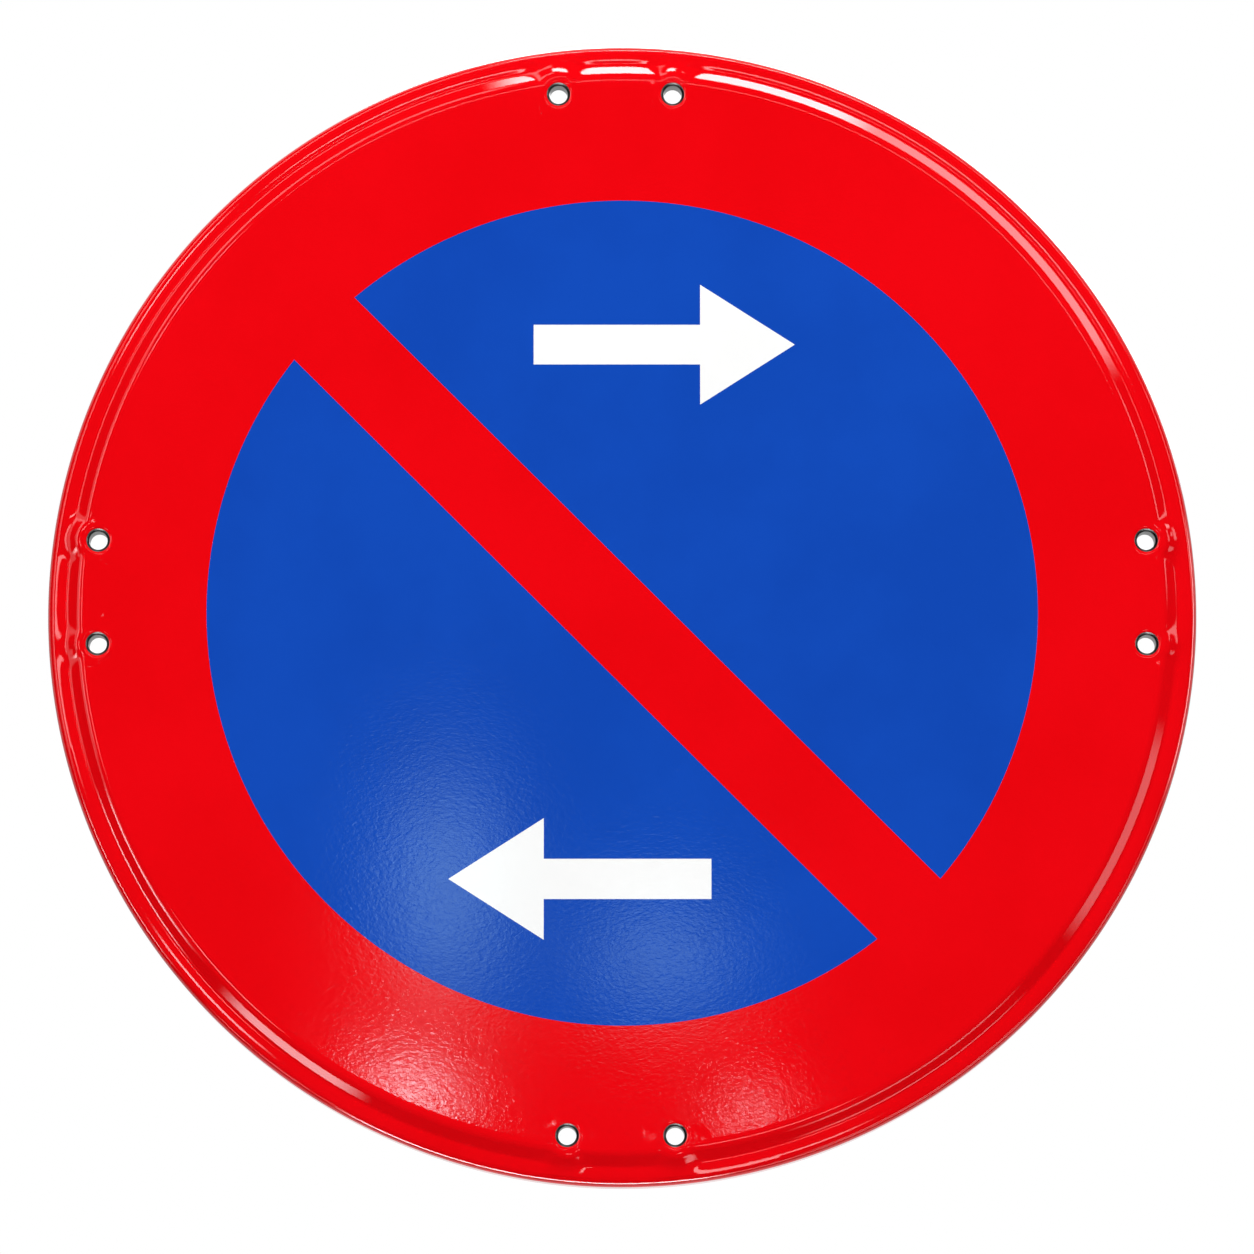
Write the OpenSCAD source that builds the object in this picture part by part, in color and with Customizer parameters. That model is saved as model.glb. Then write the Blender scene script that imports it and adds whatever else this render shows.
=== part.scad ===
// Round no parking sign: a pressed steel plate with a stepped rim, a skirt
// and eight drawn fixing holes, faced with red, blue and white sheeting.
// Millimetres. +Z is up and the face looks towards -Y. The origin is the
// centre of the sign on the plate's flat back face.

/* [Plate] */
// Outside diameter of the steel plate
plate_d = 600; // [560:10:900]
// Thickness of the steel sheet
sheet_t = 1.8; // [1.2:0.1:2.5]
// Depth from the steel's front face to the rear edge of the skirt
plate_depth = 27; // [20:1:40]

/* [Stepped rim] */
// Width of the rim, from the end of the flat face to the outer edge
rim_w = 19; // [17:0.5:24]
// How far the flat face stands in front of the ledge
step_h = 4.5; // [3.5:0.5:6]
// Slant of the slope between the face and the ledge
slope_deg = 33; // [30:1:45]
// Front radius of the shoulder, where the face turns into the slope
shoulder_r = 7; // [4:0.5:8]
// Front radius of the hollow bend at the foot of the slope
foot_r = 3.5; // [2.5:0.5:4]
// Slant that the crowned ledge has reached where the outer corner starts
crown_deg = 10; // [6:1:14]
// Front radius of the outer corner, where the ledge turns into the skirt
corner_r = 4.5; // [3.5:0.5:5.5]

/* [Fixing holes] */
// Diameter of the drawn holes
hole_d = 9.5; // [8:0.5:10.5]
// Distance from the outer edge to the line of each pair of holes
hole_inset = 26.2; // [25:0.1:30]
// Front radius of the lip that is drawn into each hole
lip_r = 3; // [2.5:0.5:3.5]
// Wall left in the drawn collar
collar_wall = 1.4; // [1:0.1:1.8]
// Fillet between the collar and the back of the plate
collar_fillet = 2; // [1:0.5:2.5]
// Depth from the steel's front face to the rear end of the collar
collar_depth = 15; // [8:0.5:18]
// Radius of the flat pad that is pressed out round each hole
pad_r = 9.3; // [9.3:0.1:11]
// Distance between the two top holes
top_gap = 60; // [50:0.5:80]
// Sideways place of the top pair's middle
top_shift = -3.5; // [-10:0.5:10]
// Distance between the two bottom holes
bottom_gap = 56; // [50:0.5:80]
// Sideways place of the bottom pair's middle
bottom_shift = -0.5; // [-10:0.5:10]
// Distance between the two holes of each side pair
side_gap = 54.5; // [50:0.5:80]
// Height of the side pairs' middle above the centre
side_shift = 10; // [-10:0.5:20]

/* [Sheeting] */
// Thickness of the coloured sheeting
film_t = 0.3; // [0.2:0.05:0.4]
// Bare strip that the sheeting leaves at the rear edge of the skirt
film_trim = 3; // [1:0.5:8]
// Diameter of the opening in the sheeting at each hole
mouth_d = 12.4; // [11.5:0.1:14]
// Width of the red border, from the outer edge of the plate to the blue field
border_w = 83; // [60:1:90]

/* [Bar] */
// Width of the slanting bar
bar_w = 45.5; // [30:0.5:60]
// Slant of the bar, which falls from the upper left to the lower right
bar_deg = 45; // [40:1:50]
// Distance of the bar's middle from the centre, towards the lower left
bar_shift = 5; // [0:0.5:10]

/* [Arrows] */
// Length of an arrow, from its tail to its tip
arrow_l = 136.8; // [100:0.2:150]
// Width of an arrow's shaft
shaft_w = 21; // [12:0.5:30]
// Length of an arrow's head
head_l = 49.6; // [30:0.2:60]
// Width of an arrow's head
head_w = 63.5; // [40:0.5:70]
// Distance from the blue field's edge to an arrow's middle line, above or below the centre
arrow_inset = 76.5; // [70:0.5:85]
// Sideways place of an arrow's middle, towards its tip
arrow_shift = 22; // [10:0.5:30]

/* [Hidden] */
$fn = 180;

plate_r = plate_d / 2;
hole_r = hole_d / 2;
flat_r = plate_r - rim_w;
field_r = plate_r - border_w;
arrow_rise = field_r - arrow_inset;
hole_line = plate_r - hole_inset;
rear_z = sheet_t - plate_depth;
film_end_z = rear_z + film_trim;
pad_sink = 1;
over = 1;
bend_steps = 8;

// Rim bends, measured on the steel's front surface
slope_run = (step_h - (shoulder_r + foot_r) * (1 - cos(slope_deg))) / sin(slope_deg);
foot_x = flat_r + (shoulder_r + foot_r) * sin(slope_deg) + slope_run * cos(slope_deg);
foot_z = sheet_t - step_h;
crown_run = plate_r - foot_x - corner_r * (1 - sin(crown_deg));
crown_r = crown_run / sin(crown_deg);
corner_z = foot_z - crown_r * (1 - cos(crown_deg)) - corner_r * cos(crown_deg);

// Each hole's place on the face: [sideways, up]
HOLES = [
    [top_shift - top_gap / 2, hole_line],
    [top_shift + top_gap / 2, hole_line],
    [bottom_shift - bottom_gap / 2, -hole_line],
    [bottom_shift + bottom_gap / 2, -hole_line],
    [-hole_line, side_shift - side_gap / 2],
    [-hole_line, side_shift + side_gap / 2],
    [hole_line, side_shift - side_gap / 2],
    [hole_line, side_shift + side_gap / 2]
];

STEEL = "#a9adae";
RED = "#ea0410";
BLUE = "#1149b4";
WHITE = "#f7f7f5";

// Points of a bend about centre [x, z], where a slant is counted from facing forwards
function bend(x, z, r, from_deg, to_deg) = [
    for (i = [0 : bend_steps])
        let (a = from_deg + (to_deg - from_deg) * i / bend_steps)
        [x + r * sin(a), z + r * cos(a)]
];

// The rim's bends at a height g above the sheet's back surface
function shoulder_bend(x, g) = bend(x, sheet_t - shoulder_r, shoulder_r - sheet_t + g, 0, slope_deg);
function foot_bend(g) = bend(foot_x, foot_z + foot_r, g - sheet_t - foot_r, slope_deg, 0);
function crown_bend(g) = bend(foot_x, foot_z - crown_r, crown_r - sheet_t + g, 0, crown_deg);
function corner_bend(g) = bend(plate_r - corner_r, corner_z, corner_r - sheet_t + g, crown_deg, 90);

// Everything behind the plate's surface at height g, down to a level end_z
module disc_form(g, end_z) {
    rotate_extrude()
        polygon(concat(
            [[0, end_z], [0, g]],
            shoulder_bend(flat_r, g),
            foot_bend(g),
            crown_bend(g),
            corner_bend(g),
            [[plate_r - sheet_t + g, end_z]]
        ));
}

// The pad round one hole, whose slope runs on down into the ledge as far as its toe
module pad_form(g) {
    side = shoulder_bend(pad_r, g);
    last = side[bend_steps];
    toe_z = g - step_h - pad_sink;
    toe_x = last[0] + (last[1] - toe_z) / tan(slope_deg);
    rotate_extrude()
        polygon(concat([[0, toe_z], [0, g]], side, [[toe_x, toe_z]]));
}

module at_holes() {
    for (p = HOLES)
        translate([p[0], p[1], 0]) children();
}

module pressed_form(g, end_z) {
    disc_form(g, end_z);
    at_holes() pad_form(g);
}

// The hollow of a drawn hole as far as its lip at height g
module hole_form(g) {
    lip_x = hole_r + lip_r;
    lip_z = sheet_t - lip_r;
    grown = lip_r - sheet_t + g;
    rotate_extrude()
        polygon(concat(
            [[0, sheet_t + over], [0, sheet_t - collar_depth - over], [lip_x - grown, sheet_t - collar_depth - over]],
            bend(lip_x, lip_z, grown, -90, 0),
            [[lip_x, sheet_t + over]]
        ));
}

// The collar that is drawn back round a hole, with its fillet to the plate
module collar_blank() {
    outer = hole_r + collar_wall;
    rotate_extrude()
        polygon(concat(
            [[0, sheet_t / 2], [0, sheet_t - collar_depth], [outer, sheet_t - collar_depth]],
            bend(outer + collar_fillet, -collar_fillet, collar_fillet, -90, 0),
            [[outer + collar_fillet, sheet_t / 2]]
        ));
}

// Turns what is drawn flat, facing up, to face -Y
module face_forwards() {
    rotate([90, 0, 0]) children();
}

module arrow_shape() {
    tail = arrow_shift - arrow_l / 2;
    tip = arrow_shift + arrow_l / 2;
    neck = tip - head_l;
    translate([0, arrow_rise])
        polygon([
            [tail, -shaft_w / 2], [neck, -shaft_w / 2], [neck, -head_w / 2], [tip, 0],
            [neck, head_w / 2], [neck, shaft_w / 2], [tail, shaft_w / 2]
        ]);
}

// The part of the blue field on one side of the bar: 1 is above it, -1 below
module field_shape(side) {
    edge = -bar_shift + side * bar_w / 2;
    intersection() {
        circle(r = field_r);
        rotate(-bar_deg)
            translate([-plate_r, side > 0 ? edge : edge - plate_r])
                square([plate_d, plate_r]);
    }
}

module film_layer() {
    translate([0, 0, sheet_t]) linear_extrude(film_t) children();
}

// Clears the place of a blue field out of the red sheeting
module field_cut(side) {
    translate([0, 0, sheet_t - over]) linear_extrude(film_t + 2 * over) field_shape(side);
}

module sign_plate() {
    color(STEEL)
        face_forwards()
            difference() {
                union() {
                    difference() {
                        pressed_form(sheet_t, rear_z);
                        pressed_form(0, rear_z - over);
                    }
                    at_holes() collar_blank();
                }
                at_holes() hole_form(sheet_t);
            }
}

module red_sheeting() {
    color(RED)
        face_forwards()
            difference() {
                pressed_form(sheet_t + film_t, film_end_z);
                difference() {
                    pressed_form(sheet_t, film_end_z - over);
                    at_holes() hole_form(sheet_t);
                }
                at_holes() hole_form(sheet_t + film_t);
                at_holes() translate([0, 0, rear_z]) cylinder(d = mouth_d, h = plate_depth + over);
                field_cut(1);
                field_cut(-1);
            }
}

module blue_field_upper() {
    color(BLUE)
        face_forwards()
            film_layer()
                difference() {
                    field_shape(1);
                    arrow_shape();
                }
}

module blue_field_lower() {
    color(BLUE)
        face_forwards()
            film_layer()
                difference() {
                    field_shape(-1);
                    rotate(180) arrow_shape();
                }
}

module upper_arrow() {
    color(WHITE)
        face_forwards()
            film_layer() arrow_shape();
}

module lower_arrow() {
    color(WHITE)
        face_forwards()
            film_layer() rotate(180) arrow_shape();
}

sign_plate();
red_sheeting();
blue_field_upper();
blue_field_lower();
upper_arrow();
lower_arrow();
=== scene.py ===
import math

import bpy
import numpy as np
from mathutils import Matrix, Vector


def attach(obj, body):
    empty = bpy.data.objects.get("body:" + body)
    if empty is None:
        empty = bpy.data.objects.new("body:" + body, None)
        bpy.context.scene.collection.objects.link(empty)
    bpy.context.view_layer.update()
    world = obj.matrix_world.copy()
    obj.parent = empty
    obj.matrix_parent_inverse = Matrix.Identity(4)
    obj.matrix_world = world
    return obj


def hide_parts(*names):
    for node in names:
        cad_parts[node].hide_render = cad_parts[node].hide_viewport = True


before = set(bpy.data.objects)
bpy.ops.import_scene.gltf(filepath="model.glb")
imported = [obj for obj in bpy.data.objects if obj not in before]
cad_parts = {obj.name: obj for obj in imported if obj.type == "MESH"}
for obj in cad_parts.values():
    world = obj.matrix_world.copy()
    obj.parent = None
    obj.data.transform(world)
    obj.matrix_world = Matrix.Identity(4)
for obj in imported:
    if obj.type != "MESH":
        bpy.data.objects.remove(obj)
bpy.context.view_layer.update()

# The camera. It stands square to the sign and a little below it, and looks
# slightly up with a long lens. The frame's width is what it takes in at the sign.
CAMERA_BELOW = math.radians(7.0)
CAMERA_DISTANCE = 4.5
FRAME_WIDTH = 0.6546
SENSOR_WIDTH = 36.0
aim = Vector((0.0025, 0.0, -0.0083))

lens = bpy.data.cameras.new("camera")
lens.sensor_width = SENSOR_WIDTH
lens.lens = SENSOR_WIDTH * CAMERA_DISTANCE / FRAME_WIDTH
camera = bpy.data.objects.new("camera", lens)
bpy.context.scene.collection.objects.link(camera)
look = Vector((0.0, math.cos(CAMERA_BELOW), math.sin(CAMERA_BELOW)))
camera.location = aim - look * CAMERA_DISTANCE
camera.rotation_euler = look.to_track_quat("-Z", "Y").to_euler()
bpy.context.scene.camera = camera
bpy.context.scene.view_settings.view_transform = "Standard"


# The studio. A white backdrop stands behind the sign, the room in front of it
# is dark, and a pale floor lies well below it.
class Wire:
    """Wraps a node's output, so that a sum written with it adds its Math nodes."""

    def __init__(self, tree, socket=None):
        self.tree, self.socket = tree, socket

    def node(self, kind, settings=None, values=None, out=0):
        """Adds a node: its settings first, then the values or wires of its sockets."""
        made = self.tree.nodes.new("ShaderNode" + kind)
        for name, value in (settings or {}).items():
            setattr(made, name, value)
        for name, value in (values or {}).items():
            if isinstance(value, Wire):
                self.tree.links.new(value.socket, made.inputs[name])
            else:
                made.inputs[name].default_value = value
        return Wire(self.tree, made.outputs[out] if len(made.outputs) else None)

    def sum(self, operation, a, b=0.0):
        return self.node("Math", {"operation": operation}, {0: a, 1: b})

    def __add__(self, other):
        return self.sum("ADD", self, other)

    def __radd__(self, other):
        return self.sum("ADD", other, self)

    def __sub__(self, other):
        return self.sum("SUBTRACT", self, other)

    def __rsub__(self, other):
        return self.sum("SUBTRACT", other, self)

    def __mul__(self, other):
        return self.sum("MULTIPLY", self, other)

    def __rmul__(self, other):
        return self.sum("MULTIPLY", other, self)

    def between(self, low, high):
        """Goes smoothly from 0 to 1 as this goes from low to high."""
        return self.node(
            "MapRange",
            {"interpolation_type": "SMOOTHSTEP"},
            {"Value": self, "From Min": low, "From Max": high},
        )

    def mixed(self, a, b):
        """Colour a where this is 0 and colour b where it is 1."""
        return self.node("Mix", {"data_type": "RGBA"}, {0: self, 6: a, 7: b}, out=2)


def mirror_way(spot, normal):
    """The way that the gloss at a spot looks when the camera sees it."""
    sight = (camera.location - spot).normalized()
    return 2 * normal.dot(sight) * normal - sight


# Soft glows in the dark room that show as haze in the flat face. Each has the place where it
# shows, sideways and up, half its length and half its width, all in millimetres, then the turn
# of its length and its radiance.
HAZES = [
    (-92, -145, 28, 54, 0, 3.7),
    (20, -180, 35, 27, 0, 2.9),
    (-108, -254, 21, 9, -23, 24.0),
    (67, -267, 12, 7, 15, 14.0),
]
# The last share is what is left of a haze at half its length or width from its middle.
HAZE_COLOUR, HAZE_LEFT = (0.55, 0.93, 1.0, 1.0), 0.3679
FACE_Y = -0.002
FORWARDS = Vector((0.0, -1.0, 0.0))

# Strip lights of the room that show in the bends of the rim. Each has the turns from the top
# where it starts and ends, the tilt of the rim that shows its middle and half its width, all in
# degrees, and its radiance.
STRIPS = [
    (-12, 25, 33.0, 1.3, 19.0),
    (-60, -13, 26.0, 3.2, 3.0),
    (25, 62, 32.6, 1.2, 6.0),
    (-38, 62, 3.4, 0.4, 7.5),
    (-62, -46, 9.0, 0.9, 9.0),
    (-106, -84, 9.0, 0.9, 5.0),
    (-104, -62, 21.0, 2.0, 3.5),
    (-128, -60, 27.0, 2.6, 1.2),
    (66, 87, 28.0, 2.2, 3.2),
    (82, 107, 38.8, 3.4, 9.0),
    (104, 124, 32.8, 1.2, 2.4),
    (136, 160, 30.0, 1.6, 3.5),
    (118, 171, 38.5, 2.6, 3.0),
    (156, 172, 8.5, 0.9, 6.0),
    (171, 208, 40.0, 3.2, 24.0),
    (-150, -136, 33.0, 0.9, 8.0),
    (-126, -111, 30.0, 1.6, 13.0),
    (-139, -126, 6.8, 0.9, 10.0),
]
# A strip fades over this many degrees either way at its ends, and between these shares of half
# its width at its sides. The camera sees the rim a little slanted, by the rim's middle radius.
STRIP_END = 3.0
STRIP_INSIDE, STRIP_OUTSIDE = 0.7, 1.3
RIM_R = 0.287

# Light of the room from below and above, how dark it is in a mirror, and where the white
# backdrop starts and is full, as parts of a way's length.
ROOM_LOW, ROOM_HIGH, ROOM_DARK = 0.05, 0.22, 0.01
BACKDROP_STARTS, BACKDROP_FULL = -0.05, 0.35
CEILING = 0.6
LIGHT_COLOUR = (1.0, 1.0, 1.0, 1.0)

world = bpy.data.worlds.new("studio")
bpy.context.scene.world = world
world.use_nodes = True
world.node_tree.nodes.clear()
air = Wire(world.node_tree)
way = air.node("TexCoord", out="Generated")
behind_sign = air.node("SeparateXYZ", None, {0: way}, out="Y").between(BACKDROP_STARTS, BACKDROP_FULL)
above = air.node("SeparateXYZ", None, {0: way}, out="Z").between(-CEILING, CEILING)
seen = air.node("LightPath", out="Is Camera Ray")
mirrored = air.node("LightPath", out="Is Glossy Ray") + air.node("LightPath", out="Is Transmission Ray")
room_light = ROOM_LOW + (ROOM_HIGH - ROOM_LOW) * above
mirror_level = ROOM_DARK + (1.0 - ROOM_DARK) * behind_sign
glow = 0.0
for x, z, half_long, half_wide, turn, radiance in HAZES:
    turn = math.radians(turn)
    spot = Vector((x / 1000, FACE_Y, z / 1000))
    middle = mirror_way(spot, FORWARDS)
    far = (camera.location - spot).length * 1000
    along = Vector((math.cos(turn), 0.0, math.sin(turn)))
    across = Vector((-math.sin(turn), 0.0, math.cos(turn)))
    fade = 0.0
    for side, half in ((along, half_long), (across, half_wide)):
        off = air.node("VectorMath", {"operation": "DOT_PRODUCT"}, {0: way, 1: side}, out="Value")
        off = (off - side.dot(middle)) * (far / half)
        fade = off * off + fade
    glow = air.sum("POWER", HAZE_LEFT, fade) * radiance + glow

# A strip shows where the rim faces halfway between the way to it and the way to the camera.
toward = air.node("VectorMath", {"operation": "SUBTRACT"}, {0: way, 1: look}, out="Vector")
facing = air.node("VectorMath", {"operation": "NORMALIZE"}, {0: toward}, out="Vector")
flat = (1.0, 0.0, 1.0)
sideways = air.node("VectorMath", {"operation": "MULTIPLY"}, {0: facing, 1: flat}, out="Vector")
lean = air.node("VectorMath", {"operation": "LENGTH"}, {0: sideways}, out="Value")
tilt = air.sum("ARCSINE", lean) * math.degrees(1.0) - math.degrees(RIM_R / CAMERA_DISTANCE / 2)
outward = air.node("VectorMath", {"operation": "NORMALIZE"}, {0: sideways}, out="Vector")
strips = 0.0
for start, end, at_tilt, half, radiance in STRIPS:
    middle, reach = math.radians((start + end) / 2), (end - start) / 2
    side = (math.sin(middle), 0.0, math.cos(middle))
    near = air.node("VectorMath", {"operation": "DOT_PRODUCT"}, {0: outward, 1: side}, out="Value")
    faint, full = math.radians(reach + STRIP_END), math.radians(reach - STRIP_END)
    along = near.between(math.cos(faint), math.cos(full))
    across = air.sum("ABSOLUTE", tilt - at_tilt).between(half * STRIP_OUTSIDE, half * STRIP_INSIDE)
    strips = along * across * radiance + strips

plain_level = seen + (1 - seen) * room_light
lamp_level = mirror_level + (1 - behind_sign) * strips
plain = air.node("Background", None, {"Color": LIGHT_COLOUR, "Strength": plain_level})
lamps = air.node("Background", None, {"Color": LIGHT_COLOUR, "Strength": lamp_level})
hazes = air.node("Background", None, {"Color": HAZE_COLOUR, "Strength": (1 - behind_sign) * glow})
gloss = air.node("AddShader", None, {0: lamps, 1: hazes})
shown = air.node("MixShader", None, {0: mirrored, 1: plain, 2: gloss})
air.node("OutputWorld", None, {"Surface": shown})


def new_finish(name):
    """A new material with nothing in it, and the wire that its nodes start from."""
    made = bpy.data.materials.new(name)
    made.use_nodes = True
    made.node_tree.nodes.clear()
    return made, Wire(made.node_tree)


FLOOR_Z, FLOOR_R = -1.0, 3.2
FLOOR_COLOUR = (0.86, 0.86, 0.86, 1.0)
FADE_STARTS, FADE_ENDS = 1.3, 3.0
spokes, floor_rings = 96, 12
floor_points, floor_faces = [(0.0, 0.0, FLOOR_Z)], []
for ring in range(1, floor_rings + 1):
    for spoke in range(spokes):
        turn = math.tau * spoke / spokes
        far = FLOOR_R * ring / floor_rings
        floor_points.append((far * math.cos(turn), far * math.sin(turn), FLOOR_Z))
for spoke in range(spokes):
    floor_faces.append((0, 1 + spoke, 1 + (spoke + 1) % spokes))
for ring in range(floor_rings - 1):
    for spoke in range(spokes):
        a, b = 1 + ring * spokes, 1 + (ring + 1) * spokes
        ahead = (spoke + 1) % spokes
        floor_faces.append((a + spoke, b + spoke, b + ahead, a + ahead))
floor_mesh = bpy.data.meshes.new("floor")
floor_mesh.from_pydata(floor_points, [], floor_faces)
floor = bpy.data.objects.new("floor", floor_mesh)
bpy.context.scene.collection.objects.link(floor)
paper, ground = new_finish("floor_paper")
place = ground.node("NewGeometry", out="Position")
reach = ground.node("VectorMath", {"operation": "LENGTH"}, {0: place}, out="Value")
pale = ground.node("BsdfDiffuse", None, {"Color": FLOOR_COLOUR})
clear = ground.node("BsdfTransparent", None, {"Color": LIGHT_COLOUR})
edge = reach.between(FADE_STARTS, FADE_ENDS)
faded = ground.node("MixShader", None, {0: edge, 1: pale, 2: clear})
ground.node("OutputMaterial", None, {"Surface": faded})
floor_mesh.materials.append(paper)
floor.visible_glossy = False


def hang_lamp(name, left, right, height, radiance):
    """Hangs a flat lamp between two ends, turned towards the sign."""
    left, right = Vector(left), Vector(right)
    middle, along = (left + right) / 2, right - left
    width = along.length
    along.normalize()
    back = (middle - along * middle.dot(along)).normalized()
    up = back.cross(along)
    light = bpy.data.lights.new(name, "AREA")
    light.shape = "RECTANGLE"
    light.size, light.size_y = width, height
    light.energy = radiance * math.pi * width * height
    holder = bpy.data.objects.new(name, light)
    bpy.context.scene.collection.objects.link(holder)
    holder.matrix_world = Matrix((
        (along.x, up.x, back.x, middle.x),
        (along.y, up.y, back.y, middle.y),
        (along.z, up.z, back.z, middle.z),
        (0.0, 0.0, 0.0, 1.0),
    ))
    holder.visible_camera = False
    return holder


# Two softboxes light the sign's colours, one for the face and one for the back.
front = hang_lamp(
    "front_softbox",
    left=(-1.5, -2.9, 2.35),
    right=(1.5, -2.9, 2.35),
    height=1.0,
    radiance=16.5,
)
front.visible_glossy = False
hang_lamp(
    "rear_softbox",
    left=(1.5, 2.4, 1.2),
    right=(-0.3, 2.4, 1.2),
    height=1.2,
    radiance=6.2,
)


# The plate: one disc of galvanised sheet steel. A press tool raises its face
# above the ledge, turns the skirt back and draws the eight fixing holes into
# short collars. Sizes are in millimetres, with depths behind the steel's face.
MM = 0.001
PLATE_R, SHEET_T, PLATE_DEPTH = 300.0, 1.8, 27.0
FLAT_R, STEP_H, SLOPE = 281.0, 4.5, math.radians(33)
SHOULDER_R, FOOT_R, CROWN, CORNER_R = 7.0, 3.5, math.radians(10), 4.5
HOLES = [
    (-33.5, 273.8), (26.5, 273.8), (-28.5, -273.8), (27.5, -273.8),
    (-273.8, -17.25), (-273.8, 37.25), (273.8, -17.25), (273.8, 37.25),
]
PAD_R, LIP_R, HOLE_R, COLLAR_T, COLLAR_FILLET, COLLAR_DEPTH = 8.5, 3.0, 4.75, 1.4, 2.0, 15.0

slope_run = (STEP_H - (SHOULDER_R + FOOT_R) * (1 - math.cos(SLOPE))) / math.sin(SLOPE)
slope_start = FLAT_R + SHOULDER_R * math.sin(SLOPE)
slope_end = slope_start + slope_run * math.cos(SLOPE)
foot_x = slope_end + FOOT_R * math.sin(SLOPE)
crown_r = (PLATE_R - foot_x - CORNER_R * (1 - math.sin(CROWN))) / math.sin(CROWN)
crown_end = foot_x + crown_r * math.sin(CROWN)
corner_depth = STEP_H + crown_r * (1 - math.cos(CROWN)) + CORNER_R * math.cos(CROWN)


def shoulder_drop(past):
    """How far a shoulder and the slope after it lie below the flat, that far past its edge."""
    past = np.maximum(past, 0.0)
    turned = SHOULDER_R * math.sin(SLOPE)
    bend = SHOULDER_R - np.sqrt(np.maximum(SHOULDER_R**2 - np.minimum(past, turned) ** 2, 0.0))
    return bend + np.maximum(past - turned, 0.0) * math.tan(SLOPE)


def rim_drop(r):
    """Depth of the plain stepped rim at radius r, out to the corner."""
    drop = shoulder_drop(r - FLAT_R)
    foot = STEP_H - FOOT_R + np.sqrt(np.maximum(FOOT_R**2 - (r - foot_x) ** 2, 0.0))
    crown = STEP_H + crown_r - np.sqrt(crown_r**2 - (r - foot_x) ** 2)
    return np.where(r < slope_end, drop, np.where(r < foot_x, foot, crown))


# Dents that the drawing of the holes leaves round them: place, size and depth.
DENTS_A_HOLE, DENT_TURN = 18, 2.2
DENT_FAR, DENT_SIZE, DENT_DEPTH = (9.0, 14.5), (0.9, 1.9), (-0.18, 0.20)
rng = np.random.default_rng(7)
DENTS = []
for hx, hz in HOLES:
    out = math.atan2(hz, hx)
    for _ in range(DENTS_A_HOLE):
        turn = out + rng.uniform(-DENT_TURN, DENT_TURN)
        far = rng.uniform(*DENT_FAR)
        place = (hx + far * math.cos(turn), hz + far * math.sin(turn))
        DENTS.append((*place, rng.uniform(*DENT_SIZE), rng.uniform(*DENT_DEPTH)))

# How sharply a pad's slope and the rim's meet, and the depth past which a pad has no say.
JOIN, PAD_DEEPEST = 5.0, 40.0
NOT_ZERO = 1e-6


def plate_drop(x, z):
    """Depth of the steel's front surface behind the flat face, with pads and dents."""
    drop = rim_drop(np.hypot(x, z)) + NOT_ZERO
    for hx, hz in HOLES:
        pad = shoulder_drop(np.hypot(x - hx, z - hz) - PAD_R) + NOT_ZERO
        joined = (drop**-JOIN + pad**-JOIN) ** (-1 / JOIN)
        drop = np.where(pad < PAD_DEEPEST, joined, drop)
    for dx, dz, size, depth in DENTS:
        drop = drop + depth * np.exp(-((x - dx) ** 2 + (z - dz) ** 2) / size**2)
    return np.maximum(drop, 0.0)


def skin_points(x, z, g):
    """Points on the pressed surface at height g above the sheet's back, off the steel's front."""
    step = 0.05
    drop = plate_drop(x, z)
    to_x = (plate_drop(x + step, z) - plate_drop(x - step, z)) / (2 * step)
    to_z = (plate_drop(x, z + step) - plate_drop(x, z - step)) / (2 * step)
    size = np.sqrt(1 + to_x**2 + to_z**2)
    lift = g - SHEET_T
    moved = [x + lift * to_x / size, drop - SHEET_T - lift / size, z + lift * to_z / size]
    return np.stack(moved, axis=-1)


# The net of points over the plate: rings, and spokes that are close together near the holes.
# Each hole has a window of its own in the net, and each end of the bar has a span of spokes.
WINDOW_HALF, WINDOW_CELLS = 13.0, 24
INNER_ROW, FINE_ROW = 261.0, 281.0
FIELD_R = 217.0
BAR_SIDES, BAR_CELLS = (17.75, -27.75), 12
BAR_ENDS = ((-45.0, 1), (135.0, -1))
NEAR_SPAN, NEAR_CELLS = 8.0, 12
FINE_STEP, WIDE_STEP = 0.38, 1.0

stations = []
for hx, hz in HOLES:
    mid = math.degrees(math.atan2(hz, hx)) % 360
    half = math.degrees(WINDOW_HALF / math.hypot(hx, hz))
    stations.append((mid - half, mid + half, WINDOW_CELLS, (hx, hz)))
for end_turn, way_round in BAR_ENDS:
    sides = [end_turn + math.degrees(math.asin(d / FIELD_R)) * way_round for d in BAR_SIDES]
    stations.append((min(sides) % 360, max(sides) % 360, BAR_CELLS, None))
stations.sort(key=lambda station: station[0])
spoke_turns, windows, bar_spans = [], [], []
for i, (a, b, cells, hole) in enumerate(stations):
    (windows if hole else bar_spans).append((len(spoke_turns), hole))
    spoke_turns += list(np.linspace(a, b, cells, endpoint=False))
    gap_end = stations[(i + 1) % len(stations)][0] + (360 if i + 1 == len(stations) else 0)
    gap = gap_end - b
    if gap < 2 * NEAR_SPAN:
        spoke_turns += list(np.linspace(b, gap_end, max(int(gap / FINE_STEP), 1), endpoint=False))
    else:
        wide_cells = int((gap - 2 * NEAR_SPAN) / WIDE_STEP) + 1
        wide_from, wide_to = b + NEAR_SPAN, gap_end - NEAR_SPAN
        spoke_turns += list(np.linspace(b, wide_from, NEAR_CELLS, endpoint=False))
        spoke_turns += list(np.linspace(wide_from, wide_to, wide_cells, endpoint=False))
        spoke_turns += list(np.linspace(wide_to, gap_end, NEAR_CELLS, endpoint=False))
spoke_turns = np.radians(np.array(spoke_turns))
SPOKES = len(spoke_turns)

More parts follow.
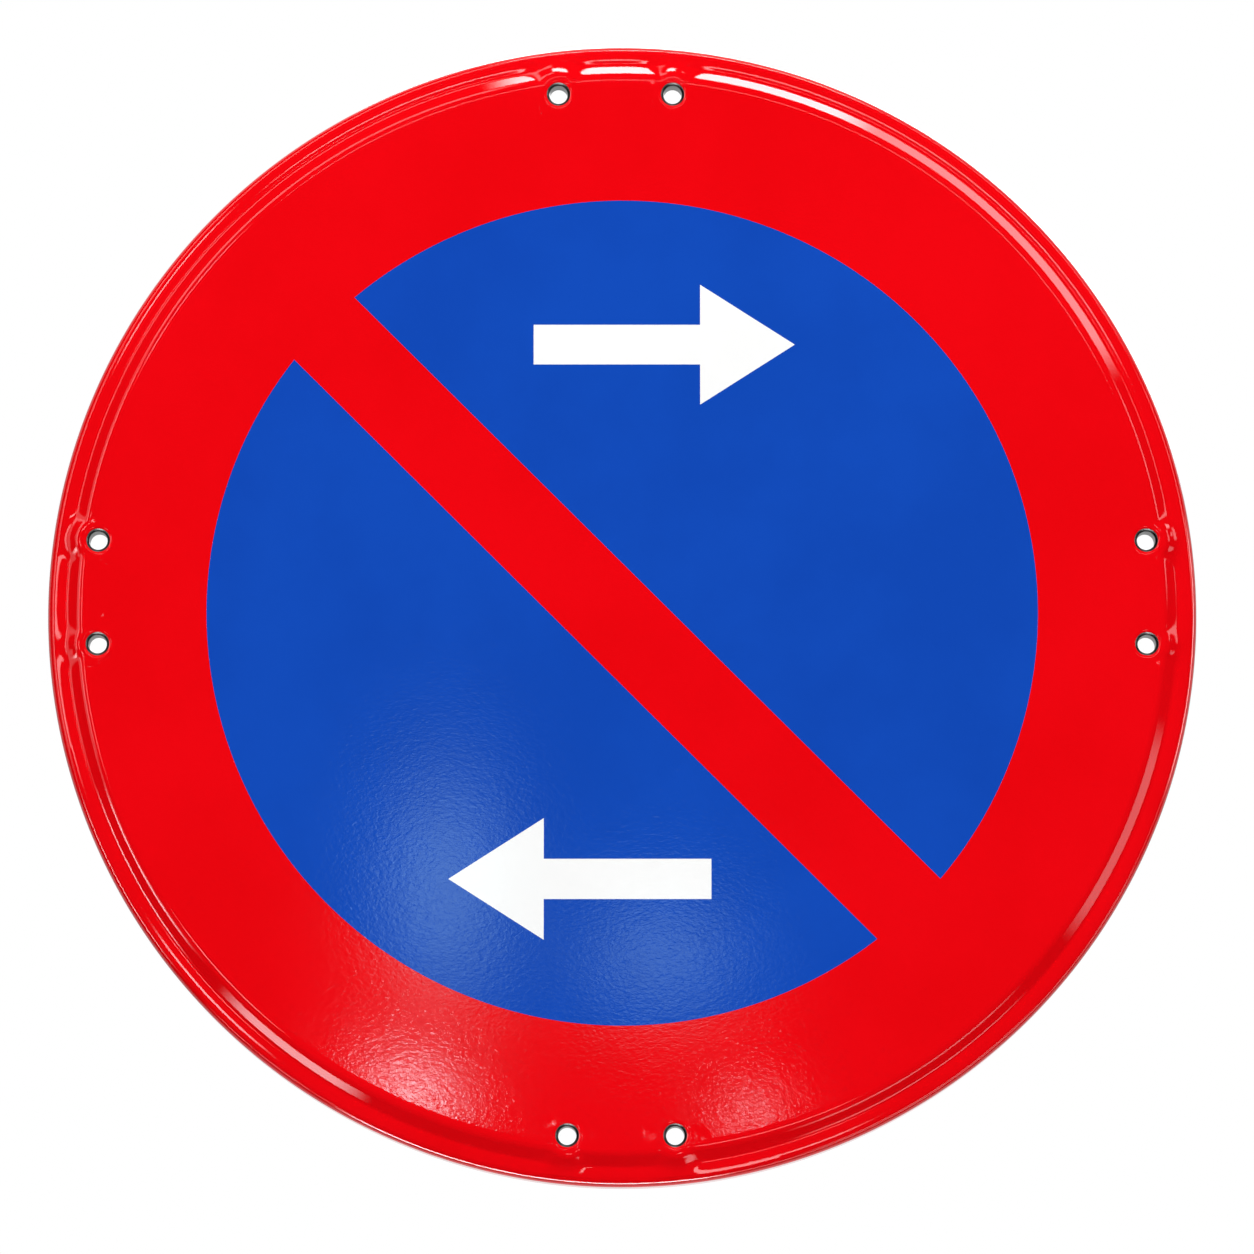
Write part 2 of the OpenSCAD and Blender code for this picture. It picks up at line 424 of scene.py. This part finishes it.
border_rows = [FIELD_R, 223.0, 232.0, 243.0, 252.0, 257.5]
FACE_ROWS, SHOULDER_ROWS, SLOPE_ROWS, FOOT_ROWS, CROWN_ROWS = 10, 6, 6, 4, 5
SLOPE_ROWS_IN_WINDOW, SKIRT_ROWS = 4, 5
row_r = np.concatenate([
    border_rows,
    np.linspace(INNER_ROW, FINE_ROW, FACE_ROWS, endpoint=False),
    np.linspace(FINE_ROW, slope_start, SHOULDER_ROWS, endpoint=False),
    np.linspace(slope_start, slope_end, SLOPE_ROWS, endpoint=False),
    np.linspace(slope_end, foot_x, FOOT_ROWS, endpoint=False),
    np.linspace(foot_x, crown_end, CROWN_ROWS),
])
WINDOW_ROW_IN = len(border_rows)
WINDOW_ROW_OUT = WINDOW_ROW_IN + FACE_ROWS + SHOULDER_ROWS + SLOPE_ROWS_IN_WINDOW

# Points closer than the gap become one, and a bend sharper than the angle shows as an edge.
WELD_GAP = 0.002
SHARP_ANGLE = math.radians(38)


def weld(parts, name):
    """Joins pieces of net, given as points and faces, into one mesh where they meet."""
    points = np.concatenate([p for p, _ in parts])
    faces, base = [], 0
    for p, f in parts:
        faces += [tuple(int(i) + base for i in face) for face in f]
        base += len(p)
    keys = np.round(points / WELD_GAP).astype(np.int64)
    _, first_seen, back = np.unique(keys, axis=0, return_index=True, return_inverse=True)
    back = back.reshape(-1)
    kept = []
    for face in faces:
        tidy = []
        for i in face:
            j = int(back[i])
            if not tidy or tidy[-1] != j:
                tidy.append(j)
        if len(tidy) > 1 and tidy[0] == tidy[-1]:
            tidy.pop()
        if len(set(tidy)) > 2:
            kept.append(tidy)
    mesh = bpy.data.meshes.new(name)
    mesh.from_pydata((points[first_seen] * MM).tolist(), [], kept)
    mesh.validate()
    for face in mesh.polygons:
        face.use_smooth = True
    mesh.set_sharp_from_angle(angle=SHARP_ANGLE)
    made = bpy.data.objects.new(name, mesh)
    bpy.context.scene.collection.objects.link(made)
    return made


def grid_faces(rows, columns, closed=False, flip=False):
    """Quads of a net whose points run column by column within each row."""
    faces = []
    for i in range(rows - 1):
        for j in range(columns if closed else columns - 1):
            k = (j + 1) % columns
            quad = (i * columns + j, i * columns + k, (i + 1) * columns + k, (i + 1) * columns + j)
            faces.append(quad[::-1] if flip else quad)
    return faces


def band(g, flip):
    """The rings of the pressed surface, without the windows round the holes."""
    r = row_r[:, None]
    x, z = r * np.cos(spoke_turns)[None, :], r * np.sin(spoke_turns)[None, :]
    cut = set()
    for start, _ in windows:
        for i in range(WINDOW_ROW_IN, WINDOW_ROW_OUT):
            for j in range(start, start + WINDOW_CELLS):
                cut.add(i * SPOKES + j % SPOKES)
    quads = grid_faces(len(row_r), SPOKES, closed=True, flip=flip)
    first = 3 if flip else 0
    return skin_points(x.ravel(), z.ravel(), g), [quad for quad in quads if quad[first] not in cut]


def window_loop(start):
    """The places round the edge of a hole's window, once round."""
    turns = spoke_turns[[j % SPOKES for j in range(start, start + WINDOW_CELLS + 1)]]
    rows = row_r[WINDOW_ROW_IN:WINDOW_ROW_OUT + 1]
    loop = [(rows[0], t) for t in turns[:-1]]
    loop += [(r, turns[-1]) for r in rows[:-1]]
    loop += [(rows[-1], t) for t in turns[:0:-1]]
    loop += [(r, turns[0]) for r in rows[:0:-1]]
    return np.array([(r * math.cos(t), r * math.sin(t)) for r, t in loop])


def at_depth(places, y):
    """Points at the places (x, z), all at one y."""
    return np.stack([places[:, 0], np.full(len(places), y), places[:, 1]], axis=-1)


def hole_patch(hole, start, g, rim_rings, flip, steps=8):
    """The surface from a window's edge to a hole's lip, then rings given as (radius, depth)."""
    loop = window_loop(start)
    middle = np.array(hole)
    away = loop - middle
    far = np.hypot(away[:, 0], away[:, 1])
    unit = away / far[:, None]
    lip_start = HOLE_R + LIP_R
    rows = []
    for share in np.linspace(0.0, 1.0, steps):
        at = middle + unit * (far + (lip_start - far) * share)[:, None]
        if share == 0.0:
            at = loop
        rows.append(skin_points(at[:, 0], at[:, 1], g))
    for radius, depth in rim_rings:
        rows.append(at_depth(middle + unit * radius, depth - SHEET_T))
    return np.concatenate(rows), grid_faces(len(rows), len(loop), closed=True, flip=flip)


def ring_at(r, y):
    """One ring of points, with a point on each spoke."""
    return np.stack([r * np.cos(spoke_turns), np.full(SPOKES, y), r * np.sin(spoke_turns)], axis=-1)


def rim_turn(g, end_depth, steps, flip, extra=()):
    """The outer corner and the skirt, then any further rings given as (radius, depth)."""
    reach = CORNER_R + g - SHEET_T
    corner_x = PLATE_R - CORNER_R
    rings = []
    for i in range(steps + 1):
        turn = CROWN + (math.pi / 2 - CROWN) * i / steps
        rings.append((corner_x + reach * math.sin(turn), corner_depth - reach * math.cos(turn)))
    for depth in np.linspace(corner_depth, end_depth, SKIRT_ROWS)[1:]:
        rings.append((corner_x + reach, depth))
    rings += list(extra)
    points = np.concatenate([ring_at(r, depth - SHEET_T) for r, depth in rings])
    return points, grid_faces(len(rings), SPOKES, closed=True, flip=flip)


def arc(cx, cd, reach, start, end, steps):
    """Rings (radius, depth) along a bend; turns count from facing forwards, outwards positive."""
    turns = np.radians(np.linspace(start, end, steps + 1))
    return [(cx + reach * math.sin(t), cd - reach * math.cos(t)) for t in turns]


def disc_centre(g, flip):
    """The flat middle, inside the first row."""
    rows = [FIELD_R, 180.0, 120.0, 60.0]
    points = [ring_at(r, -g) for r in rows]
    middle = np.array([[0.0, -g, 0.0]])
    faces = grid_faces(len(rows), SPOKES, closed=True, flip=not flip)
    last = (len(rows) - 1) * SPOKES
    for j in range(SPOKES):
        tip = (last + j, last + (j + 1) % SPOKES, len(rows) * SPOKES)
        faces.append(tip if flip else tip[::-1])
    return np.concatenate(points + [middle]), faces


# The hollow of a hole and the outside of its collar, as rings of (radius, depth).
collar_r = HOLE_R + COLLAR_T
COLLAR_EDGE = 0.35
collar_end = COLLAR_DEPTH - COLLAR_EDGE
throat = arc(HOLE_R + LIP_R, LIP_R, LIP_R, 0, -90, 10)[1:]
throat += [(HOLE_R, depth) for depth in (5.0, 7.5, 10.0, 12.5, collar_end)]
throat += [(HOLE_R + COLLAR_EDGE, COLLAR_DEPTH), (collar_r - COLLAR_EDGE, COLLAR_DEPTH)]
collar = arc(collar_r + COLLAR_FILLET, SHEET_T + COLLAR_FILLET, COLLAR_FILLET, 0, -90, 6)
collar += [(collar_r, depth) for depth in (7.0, 11.0, collar_end)]
collar += [(collar_r - COLLAR_EDGE, COLLAR_DEPTH)]

# The rear edge of the skirt, slightly rounded on both sides.
EDGE_ROUND = 0.4
edge_bulge = EDGE_ROUND * 0.3
skirt_end, skirt_inside = PLATE_DEPTH - EDGE_ROUND, PLATE_R - SHEET_T
skirt_edge = [
    (PLATE_R - edge_bulge, PLATE_DEPTH - edge_bulge),
    (PLATE_R - EDGE_ROUND, PLATE_DEPTH),
    (skirt_inside + EDGE_ROUND, PLATE_DEPTH),
    (skirt_inside + edge_bulge, PLATE_DEPTH - edge_bulge),
    (skirt_inside, skirt_end),
]
plate_parts = [
    disc_centre(SHEET_T, flip=False),
    band(SHEET_T, flip=False),
    rim_turn(SHEET_T, skirt_end, steps=8, flip=False, extra=skirt_edge),
    disc_centre(0.0, flip=True),
    band(0.0, flip=True),
    rim_turn(0.0, skirt_end, steps=6, flip=True),
]
for start, hole in windows:
    plate_parts.append(hole_patch(hole, start, SHEET_T, throat, flip=False))
    plate_parts.append(hole_patch(hole, start, 0.0, collar, flip=True))
plate = weld(plate_parts, "steel_plate")
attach(plate, "root")
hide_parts("sign_plate")

ZINC_DARK, ZINC_LIGHT = (0.30, 0.315, 0.32, 1.0), (0.56, 0.575, 0.58, 1.0)
zinc, metal = new_finish("galvanised_steel")
spot = metal.node("TexCoord", out="Object")
crystal = metal.node("TexVoronoi", {"feature": "F1"}, {"Vector": spot, "Scale": 130.0}, out="Color")
tone = metal.node("SeparateColor", None, {0: crystal}, out="Red")
cloudy = metal.node("TexNoise", None, {"Vector": spot, "Scale": 14.0, "Detail": 5.0, "Roughness": 0.6})
grain = metal.node("TexNoise", None, {"Vector": spot, "Scale": 900.0, "Detail": 3.0})
shade = 0.35 + 0.3 * tone + 0.35 * cloudy
coat = shade.mixed(ZINC_DARK, ZINC_LIGHT)
rough = 0.30 + 0.16 * tone + 0.12 * cloudy
relief = metal.node("Bump", None, {"Strength": 0.35, "Distance": 0.0001, "Height": grain + 0.6 * tone})
steel = metal.node(
    "BsdfPrincipled",
    None,
    {"Base Color": coat, "Metallic": 1.0, "Roughness": rough, "Normal": relief},
)
metal.node("OutputMaterial", None, {"Surface": steel})
plate.data.materials.append(zinc)

# The pierced walls of the holes are darker, with rings that the punch has drawn. Their two tones are far
# darker than steel is: painted shade for the inside of the holes.
PIERCED_SHADE_DARK, PIERCED_SHADE_LIGHT = (0.03, 0.032, 0.031, 1.0), (0.12, 0.126, 0.125, 1.0)
pierced_and_shaded, wall = new_finish("pierced_steel_painted_shade")
spot = wall.node("TexCoord", out="Object")
deep = wall.node("SeparateXYZ", None, {0: spot}, out="Y")
rings = wall.node("TexNoise", {"noise_dimensions": "1D"}, {"W": deep, "Scale": 700.0, "Detail": 3.0})
smear = wall.node("TexNoise", None, {"Vector": spot, "Scale": 260.0, "Detail": 3.0})
shade = 0.6 * rings + 0.4 * smear
# The punch rings and smear choose between the tones; both tones carry painted shade.
dark = shade.between(0.3, 0.7).mixed(PIERCED_SHADE_DARK, PIERCED_SHADE_LIGHT)
scored = wall.node("Bump", None, {"Strength": 0.6, "Distance": 0.0002, "Height": rings})
steel = wall.node(
    "BsdfPrincipled",
    None,
    {"Base Color": dark, "Metallic": 1.0, "Roughness": 0.30 + 0.15 * smear, "Normal": scored},
)
wall.node("OutputMaterial", None, {"Surface": steel})
plate.data.materials.append(pierced_and_shaded)

# A face of the plate is pierced steel, with its painted shade, in a hole's wall, and on the bare lip in
# front.
WALL_REACH, LIP_REACH, LIP_DEPTH = 5.4 * MM, 6.4 * MM, 1.2 * MM
for face in plate.data.polygons:
    middle = face.center
    off = min(math.hypot(middle.x - hx * MM, middle.z - hz * MM) for hx, hz in HOLES)
    if off < WALL_REACH or (off < LIP_REACH and middle.y < LIP_DEPTH):
        face.material_index = 1


# The red sheeting: glossy reflective film, laid on before pressing. It is the
# border and the slanting bar, and it wraps the rim and the skirt.
FILM_T, FILM_TRIM, MOUTH_R = 0.3, 3.0, 6.2
FILM_G = SHEET_T + FILM_T
LIP_STEPS, BAR_ROWS = 4, 48


def lip_rings(g):
    """Rings of the film's skin at height g, which dips into a hole as far as its mouth."""
    reach = LIP_R + g - SHEET_T
    end = math.degrees(math.asin((HOLE_R + LIP_R - MOUTH_R) / reach))
    return arc(HOLE_R + LIP_R, LIP_R, reach, 0, -end, LIP_STEPS)[1:]


def on_field_edge(turns):
    """Places (x, z) on the edge of the blue fields."""
    return [(FIELD_R * math.cos(t), FIELD_R * math.sin(t)) for t in turns]


def bar_strip(g, flip):
    """The slanting bar between the two ends of the ring."""
    spans = [spoke_turns[[j % SPOKES for j in range(s, s + BAR_CELLS + 1)]] for s, _ in bar_spans]
    spans.sort(key=lambda turns: math.cos(turns[0]))
    upper_left = np.array(on_field_edge(spans[0]))
    lower_right = np.array(on_field_edge(spans[1])[::-1])
    rows = []
    for i in range(BAR_ROWS + 1):
        rows.append(at_depth(upper_left + (lower_right - upper_left) * i / BAR_ROWS, -g))
    return np.concatenate(rows), grid_faces(BAR_ROWS + 1, BAR_CELLS + 1, flip=flip)


def cut_edge(places):
    """The film's cut edge down from its face to the steel, along places (x, z)."""
    places = np.array(places)
    edge_points = np.concatenate([at_depth(places, -FILM_G), at_depth(places, -SHEET_T)])
    return edge_points, grid_faces(2, len(places))


film_end = PLATE_DEPTH - FILM_TRIM
film_parts = [
    band(FILM_G, flip=False),
    band(SHEET_T, flip=True),
    rim_turn(FILM_G, film_end, steps=9, flip=False, extra=[(PLATE_R, film_end)]),
    rim_turn(SHEET_T, film_end, steps=9, flip=True),
    bar_strip(FILM_G, flip=False),
    bar_strip(SHEET_T, flip=True),
]
for start, hole in windows:
    inner = lip_rings(SHEET_T)
    outer = lip_rings(FILM_G) + [inner[-1]]
    film_parts.append(hole_patch(hole, start, FILM_G, outer, flip=False, steps=16))
    film_parts.append(hole_patch(hole, start, SHEET_T, inner, flip=True))
taken = {(s + j) % SPOKES for s, _ in bar_spans for j in range(BAR_CELLS)}
for j in range(SPOKES):
    if j not in taken:
        film_parts.append(cut_edge(on_field_edge(spoke_turns[[j, (j + 1) % SPOKES]])))
bar_rows = bar_strip(FILM_G, flip=False)[0].reshape(-1, BAR_CELLS + 1, 3)
for side in (0, BAR_CELLS):
    film_parts.append(cut_edge([(x, z) for x, _, z in bar_rows[:, side]]))
film = weld(film_parts, "red_film")
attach(film, "root")
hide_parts("red_sheeting")

PEEL_DEPTH = 0.0000045
PEEL_TURN, PEEL_STRETCH = (0.0, 0.45, 0.0), (0.65, 1.0, 1.0)


def sheeting(name, colour, deep):
    """Glossy film: colour, a deeper tone in its faint cloudiness, and the orange peel of its face."""
    made, face = new_finish(name)
    spot = face.node("TexCoord", out="Object")
    cloud = face.node("TexNoise", None, {"Vector": spot, "Scale": 9.0, "Detail": 4.0, "Roughness": 0.55})
    slant = face.node("Mapping", None, {"Vector": spot, "Rotation": PEEL_TURN, "Scale": PEEL_STRETCH})
    grains = {"Vector": slant, "Scale": 640.0, "Detail": 1.0, "Distortion": 0.6}
    peel = face.node("TexNoise", None, grains)
    wave = face.node("TexNoise", None, {"Vector": spot, "Scale": 70.0, "Detail": 1.0})
    bumps = peel * 1.5 + wave * 0.7
    relief = face.node("Bump", None, {"Strength": 1.0, "Distance": PEEL_DEPTH, "Height": bumps})
    tint = cloud.between(0.35, 0.65).mixed(colour, deep)
    skin = face.node(
        "BsdfPrincipled",
        None,
        {
            "Base Color": tint,
            "Roughness": 0.026 + 0.012 * cloud,
            "Specular IOR Level": 0.5,
            "IOR": 1.5,
            "Normal": relief,
        },
    )
    face.node("OutputMaterial", None, {"Surface": skin})
    return made


red = sheeting("red_sheeting_film", (0.83, 0.0015, 0.005, 1.0), (0.79, 0.0012, 0.004, 1.0))
film.data.materials.append(red)


# The blue fields: two pieces of the same film, cut to the circle and the bar,
# with the arrows' places left out.
blue = sheeting("blue_sheeting_film", (0.0060, 0.068, 0.47, 1.0), (0.0052, 0.061, 0.435, 1.0))
for name in ("blue_field_upper", "blue_field_lower"):
    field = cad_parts[name]
    field.data.materials.clear()
    field.data.materials.append(blue)


# The arrows: white film, one pointing right above the bar and one pointing
# left below it, flush with the blue.
white = sheeting("white_sheeting_film", (0.94, 0.94, 0.935, 1.0), (0.92, 0.92, 0.915, 1.0))
for name in ("upper_arrow", "lower_arrow"):
    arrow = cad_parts[name]
    arrow.data.materials.clear()
    arrow.data.materials.append(white)
